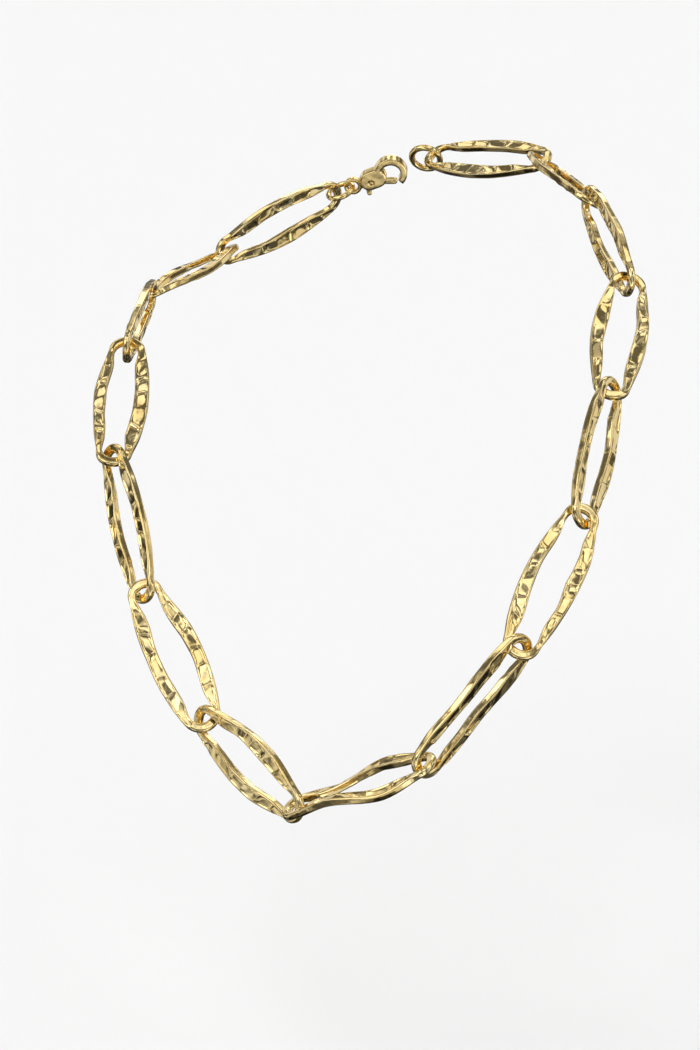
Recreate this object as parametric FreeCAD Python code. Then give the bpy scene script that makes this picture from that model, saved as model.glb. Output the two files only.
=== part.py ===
import FreeCAD, Part
import math
import os
from FreeCAD import Vector

# Chain necklace of long hammered oval links, as it hangs round a neck.
# Millimetres. +Z is up, the wearer faces -Y, and the origin is on the neck's axis, level with the
# nape, where the neck carries the chain.

# ---- large link (outside sizes, and the flat strip it is made of)
LINK_LENGTH = 35.4
LINK_WIDTH = 12.6
SIDE_STRIP = 3.1
END_STRIP = 2.0
THICKNESS = 1.6
OUTER_END_RADIUS = 4.2
INNER_END_RADIUS = 2.6
EDGE_ROUND = 0.75
PLAY = 1.2  # slack between two links that hang in each other
PITCH = LINK_LENGTH - 2 * END_STRIP - PLAY

# ---- round rings at the clasp
CLASP_RING_WIRE = 1.3
CLASP_RING_OUTSIDE = 7.4
CLOSING_RING_WIRE = 1.5
CLOSING_RING_OUTSIDE = 8.2
RING_PLAY = 0.4

# ---- lobster clasp, in its own frame: X from the eye to the nose, Z across the thickness
CLASP_THICKNESS = 2.8
EYE_THICKNESS = 1.4
EYE_OUTSIDE_RADIUS = 2.15
EYE_HOLE_RADIUS = 1.2
BODY_WIDTH = 4.6
NECK_WIDTH = 2.6
CLAW_CENTRE = 9.8
CLAW_OUTSIDE_RADIUS = 3.9
CLAW_INSIDE_RADIUS = 2.3
MOUTH_ANGLES = (66.0, 105.0, 150.0)  # the open part of the claw, in degrees from the clasp's axis
EYE_OFFSET = EYE_HOLE_RADIUS - RING_PLAY / 2  # from the ring's hold on the eye to the eye's centre
LEVER_THICKNESS = 1.0
LEVER_WIDTH = 1.5
LEVER_TAB_WIDTH = 1.2
SLOT_WIDTH = 1.3
LEVER_PIVOT = Vector(4.6, 0.5, 0)
LEVER_TIP = Vector(9.65, 2.48, 0)
LEVER_TAIL = Vector(3.3, 1.2, 0)
LEVER_TAB = Vector(2.9, 3.2, 0)
SLOT_START = 2.3
SLOT_LENGTH = 8.0
SLOT_FLOOR = -1.3
BODY_START = Vector(4.3, 0, 0)
BODY_END = Vector(6.2, 0, 0)
PIN_RADIUS = 0.45
PIN_PLAY = 0.05
SPRING_WIRE = 0.22
SPRING_RADIUS = 0.33
SPRING_TURNS = 5
SPRING_GAP = 0.02
SPRING_FOOT = Vector(6.0, SLOT_FLOOR + SPRING_WIRE / 2 + SPRING_GAP, 0)
SPRING_TOP = -0.1

# ---- the line the chain lies on, from the clasp, down the left, across the front, to the nape
LEFT_SIDE = [(14, 43, -1), (-8, 48, -10), (-33, 35, -20), (-50, 10, -23), (-54, -20, -25),
             (-56, -47, -40), (-49, -66, -64), (-36, -83, -86)]
LOWEST_POINT = (-17, -105, -95)
RIGHT_SIDE = [(9, -113, -81), (28, -99, -62), (41, -81, -41), (48, -58, -22), (53, -32, -7),
              (46, -4, 3), (38, 23, 4), (15, 42, 0), (-12, 47, -10)]
LINE_STEPS = 4000
BODY_SLOPE = 30.0  # degrees that the chest and shoulders face upwards

# ---- turn of each large link about its own length, in degrees from lying flat on the body
LINK_ROLLS = [18, -34, 26, -50, 18, -26, 35, -58, 40, -16, 26, -34, 46, -30, -90]
FRONT_LINK = 8  # the link right of the lowest point; links are numbered from the clasp


def unit(vector):
    """The vector at length one."""
    return Vector(vector).normalize()


def across(vector, direction):
    """The part of vector at right angles to direction, at length one."""
    return unit(vector - direction * vector.dot(direction))


def outward(point):
    """Direction away from the body that the chain lies on."""
    slope = math.radians(BODY_SLOPE)
    return unit(Vector(point.x, point.y, 0)) * math.cos(slope) + Vector(0, 0, math.sin(slope))


def frame(centre, along, roll):
    """Placement with X along the piece and Z away from the body, turned by roll about X."""
    x = unit(along)
    flat = across(outward(centre), x)
    z = FreeCAD.Rotation(x, roll).multVec(flat)
    y = z.cross(x)
    return FreeCAD.Placement(FreeCAD.Matrix(x.x, y.x, z.x, centre.x,
                                            x.y, y.y, z.y, centre.y,
                                            x.z, y.z, z.z, centre.z))


# ---------------------------------------------------------------- the chain's line

def fine_points(points):
    """A smooth curve through the points, as closely spaced points."""
    curve = Part.BSplineCurve()
    curve.interpolate([Vector(*p) for p in points])
    return curve.discretize(LINE_STEPS)


def drape():
    """The two halves of the chain's line, each starting at the lowest point."""
    line = fine_points(LEFT_SIDE + [LOWEST_POINT] + RIGHT_SIDE)
    lowest = min(range(len(line)), key=lambda i: (line[i] - Vector(*LOWEST_POINT)).Length)
    return line[lowest::-1], line[lowest:]


def walk(line, spans):
    """Points at the given straight distances from one to the next along the line."""
    found = [line[0]]
    rest = iter(line)
    for span in spans:
        found.append(next(p for p in rest if (p - found[-1]).Length >= span))
    return found


def ring_span(outside, wire):
    """How much length a round ring adds to the chain."""
    return outside - 2 * wire - RING_PLAY


def chain_layout():
    """Where every piece of the chain lies: name -> (start, end, roll), all read clasp to ring."""
    clasp_ring_span = ring_span(CLASP_RING_OUTSIDE, CLASP_RING_WIRE)
    closing_ring_span = ring_span(CLOSING_RING_OUTSIDE, CLOSING_RING_WIRE)
    clasp_span = EYE_OFFSET + CLAW_CENTRE + CLAW_OUTSIDE_RADIUS
    links_left = FRONT_LINK - 1
    links_right = len(LINK_ROLLS) - links_left
    left_line, right_line = drape()
    left = walk(left_line, [PITCH] * links_left + [clasp_ring_span, clasp_span])
    right = walk(right_line, [PITCH] * links_right + [closing_ring_span])
    layout = {"clasp_ring": (left[-2], left[-3], LINK_ROLLS[0] + 90),
              "clasp_body": (left[-2], left[-1], -LINK_ROLLS[0]),
              "closing_ring": (right[-2], right[-1], LINK_ROLLS[-1] + 90)}
    for i in range(links_left):
        start, end = left[links_left - i], left[links_left - i - 1]
        layout["link_%02d" % (i + 1)] = (start, end, LINK_ROLLS[i])
    for i in range(links_right):
        number = links_left + i + 1
        layout["link_%02d" % number] = (right[i], right[i + 1], LINK_ROLLS[number - 1])
    return layout


def middle_frame(start, end, roll):
    """Placement at the middle of a piece that runs from start to end."""
    return frame((start + end) * 0.5, end - start, roll)


# ---------------------------------------------------------------- large link

def oval_face(half_length, half_width, end_radius):
    """A long oval of four arcs that run smoothly into each other."""
    side_radius = (half_length ** 2 + half_width ** 2 - 2 * half_length * end_radius) / (
        2 * (half_width - end_radius))
    end_centre = Vector(half_length - end_radius, 0, 0)
    join = end_centre + unit(end_centre - Vector(0, half_width - side_radius, 0)) * end_radius
    corners = [Vector(sx * join.x, sy * join.y, 0) for sx, sy in ((1, 1), (-1, 1), (-1, -1), (1, -1))]
    tops = [Vector(0, half_width, 0), Vector(-half_length, 0, 0), Vector(0, -half_width, 0),
            Vector(half_length, 0, 0)]
    arcs = [Part.Arc(corners[i], tops[i], corners[(i + 1) % 4]).toShape() for i in range(4)]
    return Part.Face(Part.Wire(arcs))


def large_link():
    """Flat oval link with rounded edges, centred, its length along X."""
    outside = oval_face(LINK_LENGTH / 2, LINK_WIDTH / 2, OUTER_END_RADIUS)
    inside = oval_face(LINK_LENGTH / 2 - END_STRIP, LINK_WIDTH / 2 - SIDE_STRIP, INNER_END_RADIUS)
    strip = outside.cut(inside)
    strip.translate(Vector(0, 0, -THICKNESS / 2))
    blank = strip.extrude(Vector(0, 0, THICKNESS))
    rims = [e for e in blank.Edges if e.BoundBox.ZLength < EDGE_ROUND]
    return blank.makeFillet(EDGE_ROUND, rims)


# ---------------------------------------------------------------- round rings

def round_ring(outside, wire):
    """Ring of round wire, flat in XY."""
    return Part.makeTorus(outside / 2 - wire / 2, wire / 2)


# ---------------------------------------------------------------- lobster clasp

def disc(radius, centre, thickness):
    """Cylinder along Z, centred on the clasp's mid-plane."""
    return Part.makeCylinder(radius, thickness, Vector(centre.x, centre.y, -thickness / 2))


def bar(start, end, width, thickness):
    """Flat bar with round ends from start to end."""
    along = unit(end - start)
    side = Vector(-along.y, along.x, 0) * (width / 2)
    corners = [start + side, end + side, end - side, start - side]
    middle = Part.Face(Part.makePolygon(corners + corners[:1]))
    middle.translate(Vector(0, 0, -thickness / 2))
    solid = middle.extrude(Vector(0, 0, thickness))
    return solid.fuse([disc(width / 2, start, thickness), disc(width / 2, end, thickness)])


def claw():
    """Open round hook at the end of the clasp."""
    centre = Vector(CLAW_CENTRE, 0, 0)
    hook = disc(CLAW_OUTSIDE_RADIUS, centre, CLASP_THICKNESS)
    hook = hook.cut(disc(CLAW_INSIDE_RADIUS, centre, 2 * CLASP_THICKNESS))
    mouth = [centre]
    for angle in MOUTH_ANGLES:
        direction = FreeCAD.Rotation(Vector(0, 0, 1), angle).multVec(Vector(1, 0, 0))
        mouth.append(centre + direction * 2 * CLAW_OUTSIDE_RADIUS)
    wedge = Part.Face(Part.makePolygon(mouth + mouth[:1]))
    wedge.translate(Vector(0, 0, -CLASP_THICKNESS))
    return hook.cut(wedge.extrude(Vector(0, 0, 2 * CLASP_THICKNESS)))


def clasp_body():
    """Eye, slotted body and claw in one piece."""
    body = bar(BODY_START, BODY_END, BODY_WIDTH, CLASP_THICKNESS)
    eye = disc(EYE_OUTSIDE_RADIUS, Vector(0, 0, 0), EYE_THICKNESS)
    neck = bar(Vector(0, 0, 0), BODY_START, NECK_WIDTH, EYE_THICKNESS)
    solid = body.fuse([eye, neck, claw()])
    solid = solid.cut(disc(EYE_HOLE_RADIUS, Vector(0, 0, 0), 2 * CLASP_THICKNESS))
    solid = solid.cut(disc(PIN_RADIUS, LEVER_PIVOT, 2 * CLASP_THICKNESS))
    corner = Vector(SLOT_START, SLOT_FLOOR, -SLOT_WIDTH / 2)
    slot = Part.makeBox(SLOT_LENGTH, BODY_WIDTH, SLOT_WIDTH, corner)
    return solid.cut(slot).removeSplitter()


def clasp_lever():
    """Lever from its sprung tail over the pivot to the claw's nose, with a thumb tab."""
    arm = bar(LEVER_PIVOT, LEVER_TIP, LEVER_WIDTH, LEVER_THICKNESS)
    tail = bar(LEVER_PIVOT, LEVER_TAIL, LEVER_WIDTH, LEVER_THICKNESS)
    tab = bar(LEVER_TAIL, LEVER_TAB, LEVER_TAB_WIDTH, LEVER_THICKNESS)
    lever = arm.fuse([tail, tab])
    return lever.cut(disc(PIN_RADIUS + PIN_PLAY, LEVER_PIVOT, 2 * LEVER_THICKNESS)).removeSplitter()


def clasp_pin():
    """Rivet through the body and the lever."""
    return disc(PIN_RADIUS, LEVER_PIVOT, CLASP_THICKNESS)


def clasp_spring():
    """Coil spring from the slot's floor to the underside of the lever's arm."""
    height = SPRING_TOP - SPRING_FOOT.y
    helix = Part.makeHelix(height / SPRING_TURNS, height, SPRING_RADIUS)
    wire_start = Part.Circle(Vector(SPRING_RADIUS, 0, 0), Vector(0, 1, 0), SPRING_WIRE / 2)
    coil = Part.Wire(helix).makePipeShell([Part.Wire(wire_start.toShape())], True, True)
    coil.Placement = FreeCAD.Placement(SPRING_FOOT, FreeCAD.Rotation(Vector(1, 0, 0), -90))
    return coil


def clasp_frame(start, end, roll):
    """Placement of the clasp's own frame: origin at the eye, X towards the nose."""
    along = unit(end - start)
    return frame(start + along * EYE_OFFSET, along, roll)


# ---------------------------------------------------------------- all pieces

def placed(shape, placement):
    """A copy of the shape's one solid, moved from its own frame to where it lies."""
    copy = shape.Solids[0].copy()
    copy.Placement = placement.multiply(shape.Placement)
    return copy


def build():
    """Every piece of the necklace: node name -> solid."""
    layout = chain_layout()
    link = large_link()
    pieces = {}
    for name, (start, end, roll) in layout.items():
        if name.startswith("link"):
            pieces[name] = placed(link, middle_frame(start, end, roll))
    rings = {"clasp_ring": (CLASP_RING_OUTSIDE, CLASP_RING_WIRE),
             "closing_ring": (CLOSING_RING_OUTSIDE, CLOSING_RING_WIRE)}
    for name, (outside, wire) in rings.items():
        pieces[name] = placed(round_ring(outside, wire), middle_frame(*layout[name]))
    clasp = clasp_frame(*layout["clasp_body"])
    for make in (clasp_body, clasp_lever, clasp_pin, clasp_spring):
        pieces[make.__name__] = placed(make(), clasp)
    return pieces


def main():
    """Write every piece as a STEP file of its own."""
    os.makedirs("parts", exist_ok=True)
    for name, shape in sorted(build().items()):
        shape.exportStep("parts/%s.step" % name)


if __name__ == "__main__":
    main()
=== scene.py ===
import math
import random

import bpy
import numpy as np
from mathutils import Matrix, Vector


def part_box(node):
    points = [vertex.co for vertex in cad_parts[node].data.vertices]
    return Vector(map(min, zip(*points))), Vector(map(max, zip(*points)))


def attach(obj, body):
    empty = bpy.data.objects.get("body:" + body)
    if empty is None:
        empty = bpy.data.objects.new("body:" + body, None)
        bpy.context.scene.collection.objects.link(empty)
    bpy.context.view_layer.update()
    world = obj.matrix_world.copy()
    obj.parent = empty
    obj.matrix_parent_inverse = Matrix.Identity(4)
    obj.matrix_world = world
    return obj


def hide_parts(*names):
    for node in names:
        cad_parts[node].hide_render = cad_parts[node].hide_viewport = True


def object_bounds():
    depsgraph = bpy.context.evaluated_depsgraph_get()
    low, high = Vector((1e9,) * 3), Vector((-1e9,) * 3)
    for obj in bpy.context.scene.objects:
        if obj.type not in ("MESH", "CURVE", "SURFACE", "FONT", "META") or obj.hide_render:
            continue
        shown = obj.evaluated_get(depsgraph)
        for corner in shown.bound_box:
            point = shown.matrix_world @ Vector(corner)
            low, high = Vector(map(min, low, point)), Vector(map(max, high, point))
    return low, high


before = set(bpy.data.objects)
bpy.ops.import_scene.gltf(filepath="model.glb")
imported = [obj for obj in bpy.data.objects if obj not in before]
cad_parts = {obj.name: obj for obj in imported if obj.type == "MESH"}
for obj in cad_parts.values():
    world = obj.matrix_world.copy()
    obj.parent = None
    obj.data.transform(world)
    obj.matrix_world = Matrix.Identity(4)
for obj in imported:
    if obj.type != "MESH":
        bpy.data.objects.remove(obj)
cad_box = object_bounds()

# Chain necklace of long hammered oval links, draped as round a neck, with a lobster clasp behind.
# Lengths in this script are in millimetres unless a name says otherwise, and MM makes them metres.
MM = 0.001

# ---- large link, as the frame has it
END_STRIP = 2.0
SIDE_STRIP = 3.1
OUTER_END_RADIUS = 4.2
INNER_END_RADIUS = 2.6
LINK_COUNT = 15

# ---- how finely a link is made
RING_STEPS = 580         # sections round the link
FLAT_STEPS = 13          # points across each flat face, each rounded corner and each edge
CORNER_STEPS = 5
WALL_STEPS = 3
PATH_POINTS = 40001      # points from which the evenly spaced sections are chosen

# ---- how a link is hammered
FIRST_SEED = 1000
SEED_STEP = 37
SMOOTH_END = 16.4        # beyond this distance from the middle a link keeps the frame's shape
FULL_HAMMER = 12.6       # and within this distance it is hammered in full
END_HAMMER = 0.15        # how strong the blows are at the ends, as a share
END_CORNER = 0.64        # corner radius of the strip at the ends, which are round like wire
SIDE_CORNER = 0.34       # and at the sides, which are flat with crisp edges

WELLS_APART = (3.2, 5.6)         # from one flat-bottomed blow to the next, along the strip
WELL_SHARE = (0.44, 0.62)        # half the length of a blow, as a share of the room it has
WELL_WIDTH = (0.78, 1.05)        # half its width, as a share of the room between the rims
WELL_DEPTH = (0.14, 0.36)
WELL_SQUARENESS = (1.7, 4.4)     # low is a round dimple, high a flat bottom with steep ends
WELL_SIDES = 2                   # how much more than that its sides are square
WELL_FLATNESS = 0.8              # below 1 the bottom is flatter
WELL_LEAN = 0.70                 # how far a blow slants, along the strip for each unit across it
WELL_SHIFT = 0.22                # how far it is off the strip's middle
WELL_TILT_ALONG = 0.13           # slopes of its bottom
WELL_TILT_ACROSS = 0.15
RIM = 0.16                       # what a blow leaves standing along each edge of the strip

NICKS = 7                        # small stray marks on each face
NICK_SIDE = 1.2
NICK_DEPTH = (0.03, 0.12)
NICK_LENGTH = (0.25, 0.60)
NICK_STRETCH = 1.6               # its width over its length

EDGE_KINKS_APART = (6.0, 11.0)
EDGE_KINK = 0.65                 # how far a kink draws an edge of the strip inwards
INNER_KINK = EDGE_KINK / 4       # and how far it lets the inner edge out
EDGE_DENT = 0.14
DENT_FADE = 3                    # the higher, the nearer a dent keeps to the edge
SHOULDER = 0.46                  # how much wider a strip is, inwards, on its way to the link's ends
SHOULDER_FROM = (2.5, 9.5)
SHOULDER_TO = (9.8, 13.6)
WAVES_APART = (5.0, 9.0)
WAVE_UP = 0.14
STRIP_TWIST = math.radians(8)
KINK_SOFTNESS = 0.30             # length over which the turns of edges are rounded
WAVE_SOFTNESS = 0.60             # and over which those of waves and twists are

# ---- how far a link is turned about its length against its ends, in degrees
BOWED_TURN = {2: -12.0, 7: -12.0, 9: 18.0}      # at its middle
CROSSED_TURN = {8: 14.0}                        # one way before its middle and back after it
STRAY_TURN = 4.0                                # at the middle of a link not named above
CROSS_GAIN = 3.5                                # makes the greatest crossed turn about 1

# ---- the clasp and its rings
RING_TURNS = 260
WIRE_SIDES = 32
WIRE_WEAR = 0.006        # how much thinner than the frame's the wire may be, as a share
WEAR_WAVES = (2, 3, 4)   # how often the wear comes and goes round a ring
CUT_AT = math.radians(100)
CUT_GAP = math.radians(0.5)
CUT_BEVEL = 0.93
CAST_VOXEL = 0.08
CAST_SOFTENING = 0.5
BODY_WEAR_PASSES = 60
LEVER_WEAR_PASSES = 16
RIVET_ROUNDS = 7
RIVET_END = 0.16         # length of the peened end
RIVET_TIP = 0.45         # radius of its tip, as a share of the pin's

# ---- metals: noise scales are in waves per metre, bumps are strength and depth in metres
DRIFT_SCALE = 140.0
DRIFT_SPAN = (0.34, 0.62)
POLISH_SCALE = 900.0
POLISH_SPAN = (0.35, 0.75)
SCRATCH_SCALE = 2600.0
SCRATCH_STRETCH = (1.0, 0.18, 0.6)
SCRATCH_TURN = (0.4, 0.9, 0.3)
SCRATCH_BUMP = (0.10, 0.00002)
RIPPLE_BUMP = (0.5, 0.00012)

# ---- the light tent: patches are direction, angle and softness in degrees, and strength
WALLS = 0.56
OVERHEAD = ((0, 0, 1), 62, 14, 0.9)
SOFT_BOXES = [((-0.7, -0.5, 0.65), 24, 3, 1.5), ((0.85, -0.25, 0.5), 18, 3, 1.4),
              ((0.1, 0.75, 0.6), 26, 4, 1.4), ((0.25, -0.8, 0.95), 10, 2, 1.5),
              ((0.35, -0.8, -0.45), 15, 3, 1.25), ((-0.5, -0.75, -0.35), 12, 3, 1.3)]
DARK_SIDES = [((0, -1, 0.35), 16, 6, 0.45), ((0, 0.2, -1), 56, 6, 0.16),
              ((-1, 0.3, 0.1), 18, 5, 0.45), ((0.9, -0.9, 0.15), 12, 5, 0.42)]
FOLD_SCALE = 2.6         # of the tent's cloth
FOLD_SPAN = (0.43, 0.58)
FOLD_LIGHT = (0.14, 1.42)
KEY_STRENGTH = 1.55
KEY_ANGLE = math.radians(35)
KEY_TOWARDS = (0.45, 0.25, -0.85)

# ---- floor and camera
FLOOR_DROP_M = 0.075
FLOOR_HALF_M = 6.0
FLOOR_GREY = 0.86
FLOOR_ROUGHNESS = 0.9
FLOOR_SPECULAR = 0.1
CAMERA_PITCH = math.radians(22)
CAMERA_DISTANCE_M = 0.640
CAMERA_LENS = 100.0      # millimetres, on a picture 36 high
CAMERA_SENSOR = 36.0
CAMERA_CLIP_M = 0.01
AIM_OFFSET_M = Vector((-0.0038, 0.00125, -0.0178))


# ---------------------------------------------------------------- where the CAD pieces are

def node_mesh(node):
    """Vertex positions and triangles of a CAD node, in metres."""
    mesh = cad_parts[node].data
    points = np.zeros(len(mesh.vertices) * 3)
    mesh.vertices.foreach_get("co", points)
    mesh.calc_loop_triangles()
    triangles = np.zeros(len(mesh.loop_triangles) * 3, dtype=np.int32)
    mesh.loop_triangles.foreach_get("vertices", triangles)
    return points.reshape(-1, 3), triangles.reshape(-1, 3)


def principal_axes(node):
    """Centre of a node's surface and its three own directions, the longest first."""
    points, triangles = node_mesh(node)
    a, b, c = (points[triangles[:, i]] for i in range(3))
    area = np.linalg.norm(np.cross(b - a, c - a), axis=1) / 2
    centre = (area[:, None] * (a + b + c) / 3).sum(0) / area.sum()
    a, b, c = a - centre, b - centre, c - centre
    spread = sum(np.einsum("n,ni,nj->ij", area, v, v) for v in (a, b, c, a + b + c))
    directions = np.linalg.eigh(spread)[1].T[::-1]
    return centre, directions


def local_frame(centre, along, flat_normal):
    """Matrix of a piece's own frame: X along it, Z out of its plane, in metres."""
    x = Vector(along).normalized()
    z = Vector(flat_normal)
    z = (z - x * z.dot(x)).normalized()
    y = z.cross(x)
    matrix = Matrix((x, y, z)).transposed().to_4x4()
    matrix.translation = Vector(centre)
    return matrix


def box_centre(node):
    """Centre of a CAD node's box."""
    low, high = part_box(node)
    return (low + high) / 2


def link_frame(number):
    """A link's own frame: X towards the next piece of the chain, Z away from the neck."""
    node = "link_%02d" % number
    centre, (along, _, normal) = principal_axes(node)
    after = "link_%02d" % (number + 1) if number < LINK_COUNT else "closing_ring"
    if Vector(along).dot(box_centre(after) - Vector(centre)) < 0:
        along = -along
    if Vector(normal).dot(Vector(centre)) < 0:
        normal = -normal
    return local_frame(centre, along, normal)


def ring_frame(node, neighbour):
    """A round ring's own frame: Z through its hole, X towards the neighbour."""
    centre, directions = principal_axes(node)
    through_hole = Vector(directions[2])
    towards = box_centre(neighbour) - Vector(centre)
    return local_frame(centre, towards - through_hole * towards.dot(through_hole), through_hole)


def extents(node, matrix):
    """Half the size of a node along its own X, Y and Z, in millimetres."""
    points, _ = node_mesh(node)
    inverse = np.array(matrix.inverted())
    own = points @ inverse[:3, :3].T + inverse[:3, 3]
    return (own.max(0) - own.min(0)) / 2 / MM


# ---------------------------------------------------------------- meshes

def make_object(name, points, faces, matrix):
    """Smooth mesh object from points in millimetres in matrix's frame, kept in the CAD box."""
    m = np.array(matrix)
    world = np.clip((points * MM) @ m[:3, :3].T + m[:3, 3], cad_box[0], cad_box[1])
    mesh = bpy.data.meshes.new(name)
    mesh.from_pydata(world.tolist(), [], faces)
    mesh.polygons.foreach_set("use_smooth", [True] * len(mesh.polygons))
    mesh.update()
    piece = bpy.data.objects.new(name, mesh)
    bpy.context.scene.collection.objects.link(piece)
    return piece


def tube_faces(rows, sides, closed):
    """Faces of a tube whose rows run anticlockwise, looking along it. Open ends are capped."""
    faces = []
    for i in range(rows if closed else rows - 1):
        j = (i + 1) % rows
        for k in range(sides):
            n = (k + 1) % sides
            faces.append((i * sides + k, j * sides + k, j * sides + n, i * sides + n))
    if not closed:
        faces.append(tuple(range(sides)))
        faces.append(tuple(reversed(range((rows - 1) * sides, rows * sides))))
    return faces


def stand_for(piece, node, body, material):
    """The piece replaces a CAD node, rides on its body and takes the material."""
    piece.data.materials.clear()
    piece.data.materials.append(material)
    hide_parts(node)
    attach(piece, body)


# ---------------------------------------------------------------- the oval that a link follows

def oval(half_length, half_width, end_radius):
    """An oval of four arcs, as (end centre, end radius, side drop, side radius)."""
    side_radius = (half_length ** 2 + half_width ** 2 - 2 * half_length * end_radius) / (
        2 * (half_width - end_radius))
    return half_length - end_radius, end_radius, side_radius - half_width, side_radius


def oval_points(angles, shape):
    """Points of the oval whose outward normals have the given angles."""
    end_centre, end_radius, drop, side_radius = shape
    join = math.atan2(drop, end_centre)
    cosine, sine = np.cos(angles), np.sin(angles)
    on_end = np.abs(sine) < math.sin(join)
    x = np.where(on_end, np.sign(cosine) * end_centre + end_radius * cosine, side_radius * cosine)
    y = np.where(on_end, end_radius * sine, side_radius * sine - np.sign(sine) * drop)
    return np.stack([x, y], axis=1)


def oval_distance(points, shape):
    """How far outside the oval the points are."""
    end_centre, end_radius, drop, side_radius = shape
    x, y = np.abs(points[:, 0]), np.abs(points[:, 1])
    on_end = np.arctan2(y, x - end_centre) < math.atan2(drop, end_centre)
    return np.where(on_end, np.hypot(x - end_centre, y) - end_radius,
                    np.hypot(x, y + drop) - side_radius)


def strip_path(half_length, half_width):
    """Evenly spaced middle points of the strip, its half widths, and directions out of the oval."""
    outer = oval(half_length, half_width, OUTER_END_RADIUS)
    inner = oval(half_length - END_STRIP, half_width - SIDE_STRIP, INNER_END_RADIUS)
    between = oval(half_length - END_STRIP / 2, half_width - SIDE_STRIP / 2,
                   (OUTER_END_RADIUS + INNER_END_RADIUS) / 2)
    fine = np.linspace(0, 2 * math.pi, PATH_POINTS)
    line = oval_points(fine, between)
    run = np.concatenate([[0], np.cumsum(np.linalg.norm(np.diff(line, axis=0), axis=1))])
    total = run[-1]
    angles = np.interp(np.arange(RING_STEPS) * total / RING_STEPS, run, fine)
    line = oval_points(angles, between)
    out = np.stack([np.cos(angles), np.sin(angles)], axis=1)
    outwards, inwards = -oval_distance(line, outer), oval_distance(line, inner)
    middle = line + out * ((outwards - inwards) / 2)[:, None]
    return middle, (outwards + inwards) / 2, out, total


# ---------------------------------------------------------------- hammering

def wrapped_blur(values, sigma, step):
    """Values round a loop, smoothed over sigma millimetres."""
    count = len(values)
    reach = np.minimum(np.arange(count), count - np.arange(count)) * step
    kernel = np.exp(-(reach / sigma) ** 2 / 2)
    kernel /= kernel.sum()
    return np.real(np.fft.ifft(np.fft.fft(values) * np.fft.fft(kernel)))


def places_along(rng, total, apart):
    """Places round a loop, at uneven distances."""
    places = [rng.uniform(0, apart[1])]
    while places[-1] < total + places[0] - apart[0] - apart[1]:
        places.append(places[-1] + rng.uniform(*apart))
    return np.array(places)


def through(rng, places, total, low, high, softness=KINK_SOFTNESS):
    """A loop of straight runs between random heights at the places, with the corners softened."""
    heights = [rng.uniform(low, high) for _ in places]
    along = np.arange(RING_STEPS) * total / RING_STEPS
    values = np.interp(along, places, heights, period=total)
    return wrapped_blur(values, softness, total / RING_STEPS)


def wrapped_distance(run, place, total):
    """How far along the loop the run is past the place, the shorter way round."""
    return (run - place + total / 2) % total - total / 2


def wells(rng, total, run, across, half):
    """Depth of one face's row of overlapping, mostly flat-bottomed hammer blows."""
    places = places_along(rng, total, WELLS_APART)
    depth = np.zeros_like(run + across)
    for i, place in enumerate(places):
        room = (places[(i + 1) % len(places)] - places[i - 1]) % total / 2
        length = room * rng.uniform(*WELL_SHARE)
        size = rng.uniform(*WELL_DEPTH)
        square = rng.uniform(*WELL_SQUARENESS)
        lean = rng.uniform(-WELL_LEAN, WELL_LEAN)
        along_tilt = rng.uniform(-WELL_TILT_ALONG, WELL_TILT_ALONG)
        across_tilt = rng.uniform(-WELL_TILT_ACROSS, WELL_TILT_ACROSS)
        shift = rng.uniform(-WELL_SHIFT, WELL_SHIFT)
        away = wrapped_distance(run, place, total) - lean * across
        width = (half[:, None] - RIM) * rng.uniform(*WELL_WIDTH)
        ends = (np.abs(away) / length) ** square
        sides = (np.abs(across - shift) / width) ** (square + WELL_SIDES)
        bowl = size * np.clip(1 - ends - sides, 0, 1) ** WELL_FLATNESS
        tilted = bowl * (1 + (along_tilt * away + across_tilt * across) / size)
        depth = np.maximum(depth, tilted)
    return depth


def nicks(rng, total, run, across):
    """Depth of a few small stray marks."""
    depth = np.zeros_like(run + across)
    for _ in range(NICKS):
        place = rng.uniform(0, total)
        side = rng.uniform(-NICK_SIDE, NICK_SIDE)
        size = rng.uniform(*NICK_DEPTH)
        length = rng.uniform(*NICK_LENGTH)
        away = wrapped_distance(run, place, total) / length
        aside = (across - side) / (NICK_STRETCH * length)
        depth += size * np.exp(-away ** 2 / 2 - aside ** 2 / 2)
    return depth


def section_pattern():
    """The strip's rounded rectangle, once round: place of the corner's centre, and direction."""
    corners = ((1, 1), (-1, 1), (-1, -1), (1, -1))
    quarter = math.pi / 2
    pattern = []
    for number, here in enumerate(corners):
        after = corners[(number + 1) % 4]
        start = number * quarter
        for i in range(CORNER_STEPS):
            turn = start + quarter * i / (CORNER_STEPS - 1)
            pattern.append((here[0], here[1], math.cos(turn), math.sin(turn)))
        steps = FLAT_STEPS if number % 2 == 0 else WALL_STEPS
        turn = start + quarter
        for i in range(1, steps + 1):
            share = i / (steps + 1)
            pattern.append((here[0] + (after[0] - here[0]) * share,
                            here[1] + (after[1] - here[1]) * share,
                            math.cos(turn), math.sin(turn)))
    return np.array(pattern)


def eased(values, span):
    """0 before the span and 1 after it, with a smooth passage."""
    share = np.clip((values - span[0]) / (span[1] - span[0]), 0, 1)
    return share * share * (3 - 2 * share)


def turned(points, angle):
    """Points turned about the X axis, each by its own angle."""
    y, z = points[..., 1].copy(), points[..., 2].copy()
    points[..., 1] = y * np.cos(angle) - z * np.sin(angle)
    points[..., 2] = y * np.sin(angle) + z * np.cos(angle)
    return points


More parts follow.
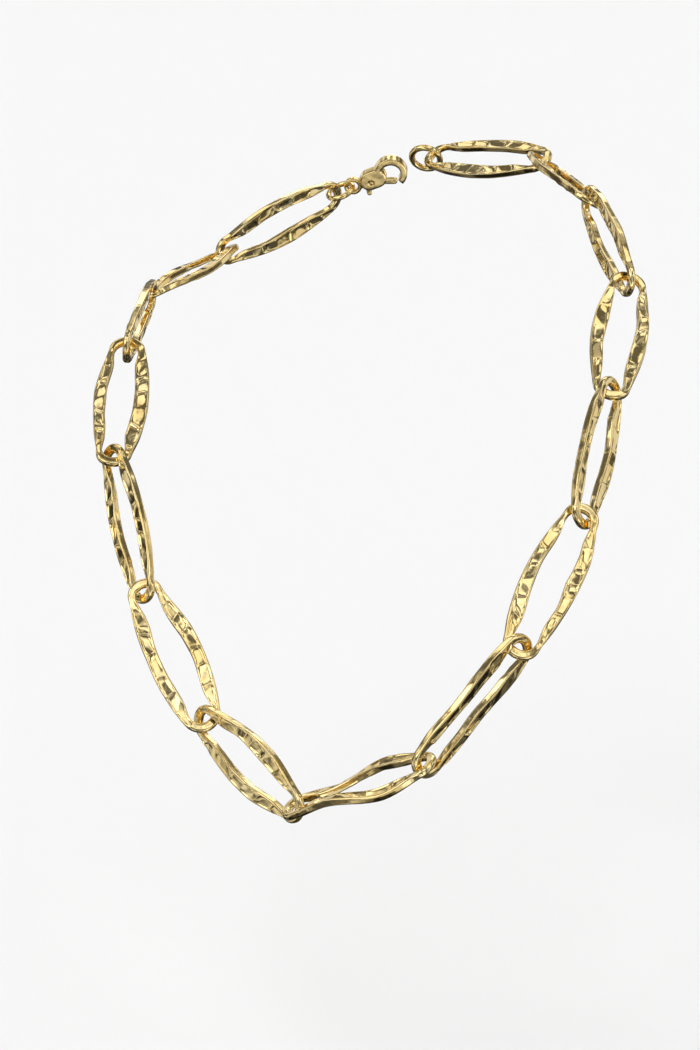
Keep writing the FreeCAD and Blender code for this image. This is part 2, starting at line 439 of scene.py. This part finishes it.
def hammered_link(name, node, number):
    """One large link: a flat oval strip, hammered on both faces, kinked and a little twisted."""
    rng = random.Random(FIRST_SEED + SEED_STEP * number)
    matrix = link_frame(number)
    half_length, half_width, half_thickness = extents(node, matrix)
    middle, half, out, total = strip_path(half_length, half_width)
    far = np.abs(middle[:, 0])
    hammer = 1 - eased(far, (FULL_HAMMER, SMOOTH_END))

    corner = END_CORNER + (SIDE_CORNER - END_CORNER) * hammer
    kinks = places_along(rng, total, EDGE_KINKS_APART)
    outer_edge = through(rng, kinks, total, -EDGE_KINK, 0.0) * hammer
    kinks = places_along(rng, total, EDGE_KINKS_APART)
    inner_edge = through(rng, kinks, total, -EDGE_KINK, INNER_KINK) * hammer
    inner_edge = inner_edge - SHOULDER * eased(far, SHOULDER_FROM) * (1 - eased(far, SHOULDER_TO))
    waves = places_along(rng, total, WAVES_APART)
    upwards = through(rng, waves, total, -WAVE_UP, WAVE_UP, WAVE_SOFTNESS) * hammer
    waves = places_along(rng, total, WAVES_APART)
    twist = through(rng, waves, total, -STRIP_TWIST, STRIP_TWIST, WAVE_SOFTNESS) * hammer
    sideways = (outer_edge + inner_edge) / 2
    half = half + (outer_edge - inner_edge) / 2

    pattern = section_pattern()
    part_n, part_z, dir_n, dir_z = (pattern[:, i][None, :] for i in range(4))
    n = part_n * (half - corner)[:, None] + dir_n * corner[:, None]
    z = part_z * (half_thickness - corner)[:, None] + dir_z * corner[:, None]

    run = (np.arange(RING_STEPS) * total / RING_STEPS)[:, None]
    strength = (END_HAMMER + (1 - END_HAMMER) * hammer)[:, None]
    for side in (1, -1):
        depth = (wells(rng, total, run, n, half) + nicks(rng, total, run, n)) * strength
        z = z - side * depth * np.clip(side * z / half_thickness, 0, 1)
    for side in (1, -1):
        dents = places_along(rng, total, WELLS_APART)
        edge = through(rng, dents, total, 0.0, EDGE_DENT)[:, None]
        n = n - side * edge * np.clip(side * n / half[:, None], 0, 1) ** DENT_FADE * strength

    bow = (1 - np.clip(middle[:, 0] / SMOOTH_END, -1, 1) ** 2) ** 2
    cross = bow * middle[:, 0] / SMOOTH_END * CROSS_GAIN
    stray = rng.uniform(-STRAY_TURN, STRAY_TURN)
    turn = BOWED_TURN.get(number, stray) * bow + CROSSED_TURN.get(number, 0.0) * cross
    turned_n = n * np.cos(twist)[:, None] - z * np.sin(twist)[:, None]
    turned_z = n * np.sin(twist)[:, None] + z * np.cos(twist)[:, None]
    points = np.zeros(n.shape + (3,))
    outwards = turned_n + sideways[:, None]
    points[..., :2] = middle[:, None, :] + out[:, None, :] * outwards[..., None]
    points[..., 2] = turned_z + upwards[:, None]
    points = turned(points, np.radians(turn)[:, None])
    faces = tube_faces(RING_STEPS, len(pattern), True)
    return make_object(name, points.reshape(-1, 3), faces, matrix)


# ---------------------------------------------------------------- the clasp and its rings

def jump_ring(name, node, neighbour):
    """A ring bent from round wire, its two sawn ends brought together at one side."""
    rng = random.Random(name)
    matrix = ring_frame(node, neighbour)
    outside, _, wire = extents(node, matrix)
    bend = outside - wire
    turns = np.linspace(CUT_AT + CUT_GAP, CUT_AT + 2 * math.pi - CUT_GAP, RING_TURNS)
    turns = np.concatenate([[turns[0]], turns, [turns[-1]]])
    around = np.arange(WIRE_SIDES) * 2 * math.pi / WIRE_SIDES
    phases = [rng.uniform(0, 2 * math.pi) for _ in WEAR_WAVES]
    uneven = sum(np.sin(wave * turns + phase) for wave, phase in zip(WEAR_WAVES, phases))
    radius = wire * (1 - WIRE_WEAR * (1 + uneven / len(WEAR_WAVES)))
    radius[[0, -1]] *= CUT_BEVEL
    n = bend + (radius[:, None] * np.cos(around)[None, :])
    points = np.stack([n * np.cos(turns)[:, None], n * np.sin(turns)[:, None],
                       radius[:, None] * np.sin(around)[None, :]], axis=2).reshape(-1, 3)
    return make_object(name, points, tube_faces(len(turns), WIRE_SIDES, False), matrix)


def cast_piece(name, node, passes):
    """A copy of a CAD piece with its edges worn round, as a cast and tumbled part has them."""
    rough = bpy.data.objects.new(name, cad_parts[node].data.copy())
    bpy.context.scene.collection.objects.link(rough)
    remesh = rough.modifiers.new("remesh", "REMESH")
    remesh.mode = "VOXEL"
    remesh.voxel_size = CAST_VOXEL * MM
    worn = rough.modifiers.new("worn", "SMOOTH")
    worn.factor = CAST_SOFTENING
    worn.iterations = passes
    depsgraph = bpy.context.evaluated_depsgraph_get()
    settled = bpy.data.meshes.new_from_object(rough.evaluated_get(depsgraph))
    rough.modifiers.clear()
    rough.data = settled
    settled.name = name
    settled.polygons.foreach_set("use_smooth", [True] * len(settled.polygons))
    return rough


def rivet(name, node):
    """The clasp's pin, with its two ends peened over."""
    centre, (along, side, _) = principal_axes(node)
    matrix = local_frame(centre, along, side)
    length, radius, _ = extents(node, matrix)
    turn = np.linspace(0, math.pi / 2, RIVET_ROUNDS)
    inwards = RIVET_END * (1 - np.cos(turn))
    swell = RIVET_TIP + (1 - RIVET_TIP) * np.sin(turn)
    x = np.concatenate([inwards - length, (length - inwards)[::-1]])
    r = radius * np.concatenate([swell, swell[::-1]])
    around = np.arange(WIRE_SIDES) * 2 * math.pi / WIRE_SIDES
    points = np.stack([np.repeat(x[:, None], WIRE_SIDES, 1), r[:, None] * np.cos(around),
                       -r[:, None] * np.sin(around)], axis=2).reshape(-1, 3)
    return make_object(name, points, tube_faces(len(x), WIRE_SIDES, False), matrix)


# ---------------------------------------------------------------- materials

def node_tree(name):
    """A new material, its nodes and its links."""
    material = bpy.data.materials.new(name)
    material.use_nodes = True
    return material, material.node_tree.nodes, material.node_tree.links


def noise(nodes, links, vector, scale, detail):
    """Output of a noise that follows the vector."""
    texture = nodes.new("ShaderNodeTexNoise")
    texture.inputs["Scale"].default_value = scale
    texture.inputs["Detail"].default_value = detail
    links.new(vector, texture.inputs["Vector"])
    return texture.outputs["Fac"]


def remap(nodes, links, value, span, low, high, interpolation="LINEAR"):
    """Output that goes from low to high while the value goes through the span."""
    remapped = nodes.new("ShaderNodeMapRange")
    remapped.interpolation_type = interpolation
    remapped.inputs["From Min"].default_value = span[0]
    remapped.inputs["From Max"].default_value = span[1]
    remapped.inputs["To Min"].default_value = low
    remapped.inputs["To Max"].default_value = high
    links.new(value, remapped.inputs["Value"])
    return remapped.outputs["Result"]


def bump(nodes, links, height, strength_and_depth):
    """Bump node for the height."""
    node = nodes.new("ShaderNodeBump")
    node.inputs["Strength"].default_value = strength_and_depth[0]
    node.inputs["Distance"].default_value = strength_and_depth[1]
    links.new(height, node.inputs["Height"])
    return node


def polished_metal(name, pale, deep, smooth, rough, grain):
    """Polished metal: colour that drifts a little, thin scratches and a soft uneven polish."""
    material, nodes, links = node_tree(name)
    shader = nodes["Principled BSDF"]
    shader.inputs["Metallic"].default_value = 1.0
    place = nodes.new("ShaderNodeTexCoord").outputs["Object"]

    tone = nodes.new("ShaderNodeValToRGB")
    for element, position, colour in zip(tone.color_ramp.elements, DRIFT_SPAN, (deep, pale)):
        element.position = position
        element.color = colour + (1,)
    links.new(noise(nodes, links, place, DRIFT_SCALE, 3.0), tone.inputs["Fac"])
    links.new(tone.outputs["Color"], shader.inputs["Base Color"])

    polish = noise(nodes, links, place, POLISH_SCALE, 4.0)
    rub = remap(nodes, links, polish, POLISH_SPAN, smooth, rough)
    links.new(rub, shader.inputs["Roughness"])

    stretch = nodes.new("ShaderNodeMapping")
    stretch.inputs["Scale"].default_value = SCRATCH_STRETCH
    stretch.inputs["Rotation"].default_value = SCRATCH_TURN
    links.new(place, stretch.inputs["Vector"])
    scratches = noise(nodes, links, stretch.outputs["Vector"], SCRATCH_SCALE, 2.0)
    fine = bump(nodes, links, scratches, SCRATCH_BUMP)
    broad = bump(nodes, links, noise(nodes, links, place, grain, 2.0), RIPPLE_BUMP)
    links.new(fine.outputs["Normal"], broad.inputs["Normal"])
    links.new(broad.outputs["Normal"], shader.inputs["Normal"])
    return material


# ---------------------------------------------------------------- the chain

hammered = polished_metal("hammered_gold", pale=(0.98, 0.79, 0.40), deep=(0.93, 0.69, 0.28),
                          smooth=0.06, rough=0.18, grain=420.0)
polished = polished_metal("polished_gold", pale=(0.98, 0.77, 0.36), deep=(0.94, 0.69, 0.28),
                          smooth=0.05, rough=0.15, grain=260.0)
spring_wire = polished_metal("spring_steel", pale=(0.74, 0.73, 0.70), deep=(0.50, 0.50, 0.49),
                             smooth=0.16, rough=0.34, grain=300.0)

for number in range(1, LINK_COUNT + 1):
    cad_node = "link_%02d" % number
    link = hammered_link("hammered_" + cad_node, cad_node, number)
    stand_for(link, cad_node, cad_node, hammered)

for cad_node, neighbour in (("clasp_ring", "link_01"), ("closing_ring", "link_15")):
    ring = jump_ring("wire_" + cad_node, cad_node, neighbour)
    stand_for(ring, cad_node, cad_node, polished)
body = cast_piece("cast_clasp_body", "clasp_body", BODY_WEAR_PASSES)
stand_for(body, "clasp_body", "clasp_body", polished)
lever = cast_piece("cast_clasp_lever", "clasp_lever", LEVER_WEAR_PASSES)
stand_for(lever, "clasp_lever", "clasp_lever", polished)
pin = rivet("peened_clasp_pin", "clasp_pin")
stand_for(pin, "clasp_pin", "clasp_body", polished)
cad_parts["clasp_spring"].data.materials.clear()
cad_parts["clasp_spring"].data.materials.append(spring_wire)


# ---------------------------------------------------------------- floor, light and camera

def pale_floor(height):
    """A wide plain floor at the height."""
    mesh = bpy.data.meshes.new("floor")
    corners = [(side * FLOOR_HALF_M, end * FLOOR_HALF_M, height)
               for side, end in ((-1, -1), (1, -1), (1, 1), (-1, 1))]
    mesh.from_pydata(corners, [], [(0, 1, 2, 3)])
    material, nodes, _ = node_tree("pale_floor")
    shader = nodes["Principled BSDF"]
    shader.inputs["Base Color"].default_value = (FLOOR_GREY, FLOOR_GREY, FLOOR_GREY, 1)
    shader.inputs["Roughness"].default_value = FLOOR_ROUGHNESS
    shader.inputs["Specular IOR Level"].default_value = FLOOR_SPECULAR
    mesh.materials.append(material)
    floor = bpy.data.objects.new("floor", mesh)
    floor.visible_glossy = False
    bpy.context.scene.collection.objects.link(floor)
    return floor


def key_light():
    """A wide soft sun that lights the floor and isn't mirrored in the metal."""
    sun = bpy.data.lights.new("key", "SUN")
    sun.energy = KEY_STRENGTH
    sun.angle = KEY_ANGLE
    key = bpy.data.objects.new("key", sun)
    key.rotation_euler = Vector(KEY_TOWARDS).to_track_quat("-Z", "Y").to_euler()
    key.visible_glossy = False
    bpy.context.scene.collection.objects.link(key)


def studio_world():
    """A light tent: pale folded walls, brighter soft boxes, and dark round the camera and below."""
    world = bpy.data.worlds.new("studio")
    world.use_nodes = True
    bpy.context.scene.world = world
    nodes, links = world.node_tree.nodes, world.node_tree.links
    place = nodes.new("ShaderNodeTexCoord").outputs["Generated"]

    def patch(direction, angle, softness, value):
        """The value within the angle of the direction, and 0 outside."""
        dot = nodes.new("ShaderNodeVectorMath")
        dot.operation = "DOT_PRODUCT"
        dot.inputs[1].default_value = Vector(direction).normalized()
        links.new(place, dot.inputs[0])
        span = [math.cos(math.radians(edge)) for edge in (angle + softness, angle - softness)]
        return remap(nodes, links, dot.outputs["Value"], span, 0.0, value, "SMOOTHSTEP")

    def combine(operation, first, second):
        """Output of an operation on two outputs or numbers."""
        node = nodes.new("ShaderNodeMath")
        node.operation = operation
        for socket, value in zip(node.inputs, (first, second)):
            if isinstance(value, float):
                socket.default_value = value
            else:
                links.new(value, socket)
        return node.outputs[0]

    direction, angle, softness, value = OVERHEAD
    light = combine("ADD", WALLS, patch(direction, angle, softness, value - WALLS))
    for box in SOFT_BOXES:
        light = combine("MAXIMUM", light, patch(*box))
    for direction, angle, softness, value in DARK_SIDES:
        shade = combine("SUBTRACT", 1.0, patch(direction, angle, softness, 1 - value))
        light = combine("MULTIPLY", light, shade)
    folds = noise(nodes, links, place, FOLD_SCALE, 1.0)
    light = combine("MULTIPLY", light,
                    remap(nodes, links, folds, FOLD_SPAN, *FOLD_LIGHT, "SMOOTHSTEP"))
    links.new(light, nodes["Background"].inputs["Strength"])
    nodes["Background"].inputs["Color"].default_value = (1, 1, 1, 1)


def place_camera(aim):
    """The camera, looking down at the aim from the front."""
    data = bpy.data.cameras.new("camera")
    data.sensor_fit = "VERTICAL"
    data.sensor_height = CAMERA_SENSOR
    data.lens = CAMERA_LENS
    data.clip_start = CAMERA_CLIP_M
    camera = bpy.data.objects.new("camera", data)
    back = Vector((0, -math.cos(CAMERA_PITCH), math.sin(CAMERA_PITCH)))
    camera.location = aim + CAMERA_DISTANCE_M * back
    camera.rotation_euler = (math.pi / 2 - CAMERA_PITCH, 0, 0)
    bpy.context.scene.collection.objects.link(camera)
    bpy.context.scene.camera = camera


box_low, box_high = (Vector(corner) for corner in cad_box)
floor = pale_floor(box_low.z - FLOOR_DROP_M)
key_light()
studio_world()
place_camera((box_low + box_high) / 2 + AIM_OFFSET_M)
bpy.context.scene.view_settings.view_transform = "Standard"
